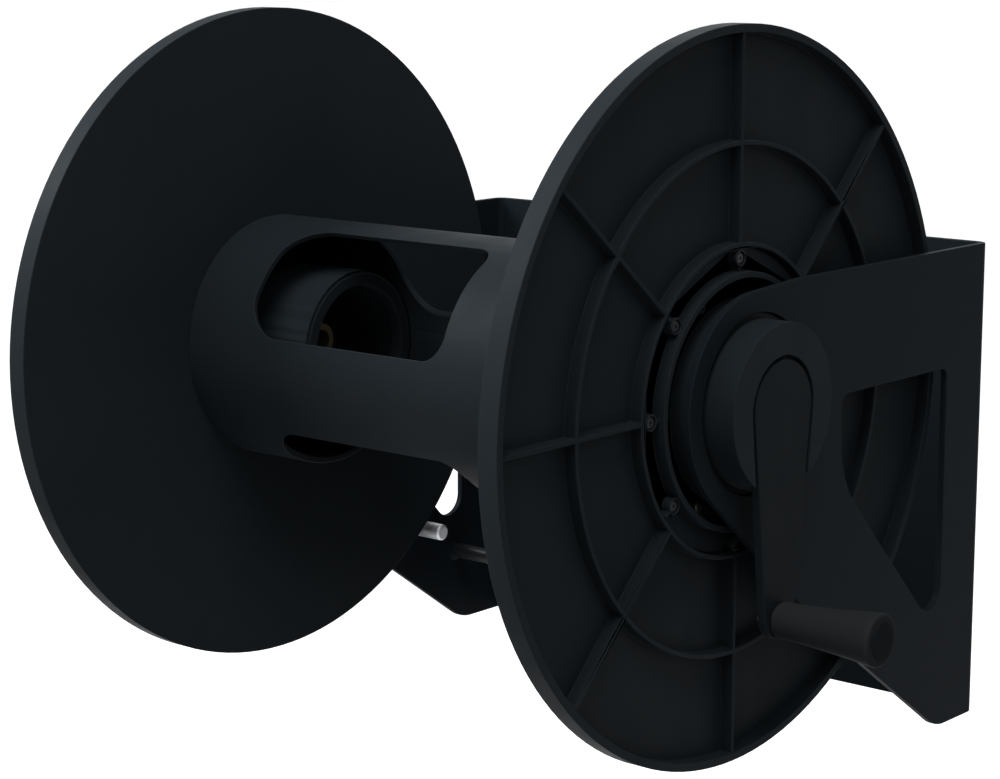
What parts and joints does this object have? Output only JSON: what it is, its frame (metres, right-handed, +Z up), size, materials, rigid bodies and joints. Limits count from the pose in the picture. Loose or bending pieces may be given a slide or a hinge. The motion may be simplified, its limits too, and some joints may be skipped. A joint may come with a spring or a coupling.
{
  "type": "hose reel",
  "caption": "Wall-mounted hose reel with a folded plate bracket, ribbed flanges, a windowed core, a hand crank and a water inlet that swivels.",
  "frame": {"origin": "on the wall face, at the centre of the wall bolt pattern and of the back plate", "axes": "+X along the drum's axis towards the crank, +Y into the wall, +Z up"},
  "size_m": [0.6072, 0.53, 0.5119],
  "materials": {
    "black_plate": "satin powder coat",
    "black_plastic": "satin moulded",
    "crank_plastic": "satin moulded",
    "grip_plastic": "satin moulded",
    "inlet_plastic": "satin moulded",
    "bearing_plastic": "smooth, self-lubricating",
    "bright_steel": "dull zinc plated, turned",
    "dark_steel": "black zinc plated",
    "brass": "turned, dulled",
    "seal_rubber": "smooth"
  },
  "bodies": {
    "frame": {"bracket": "black_plate", "bush_left": "bearing_plastic", "bush_right": "bearing_plastic", "tie_bar": "black_plate", "tie_welds": "black_plate", "peg": "bright_steel", "peg_nut": "dark_steel"},
    "drum": {"core": "black_plastic", "flange_left": "black_plastic", "flange_right": "black_plastic", "hub_left": "black_plastic", "hub_right": "black_plastic", "core_screws_left": "dark_steel", "core_screws_right": "dark_steel", "hub_screws_left": "dark_steel", "hub_screws_right": "dark_steel", "crank_arm": "crank_plastic", "crank_screws": "dark_steel", "grip_axle": "bright_steel", "grip_washer": "dark_steel", "axle_nut": "dark_steel", "outlet_spigot": "brass", "spigot_nut": "brass", "spigot_washer": "seal_rubber", "seal_rings": "seal_rubber"},
    "handle": {"grip": "grip_plastic", "grip_cap": "grip_plastic"},
    "inlet": {"inlet_elbow": "inlet_plastic", "inlet_clip": "bright_steel"}
  },
  "joints": [
    {"name": "drum_spin", "type": "hinge", "parent": "frame", "child": "drum", "pos_m": [0, -0.29, 0.098], "axis": [1, 0, 0], "continuous": true},
    {"name": "grip_spin", "type": "hinge", "parent": "drum", "child": "handle", "pos_m": [0.29, -0.29, -0.04], "axis": [1, 0, 0], "continuous": true},
    {"name": "inlet_swivel", "type": "hinge", "parent": "frame", "child": "inlet", "pos_m": [-0.26, -0.29, 0.098], "axis": [1, 0, 0], "continuous": true}
  ]
}
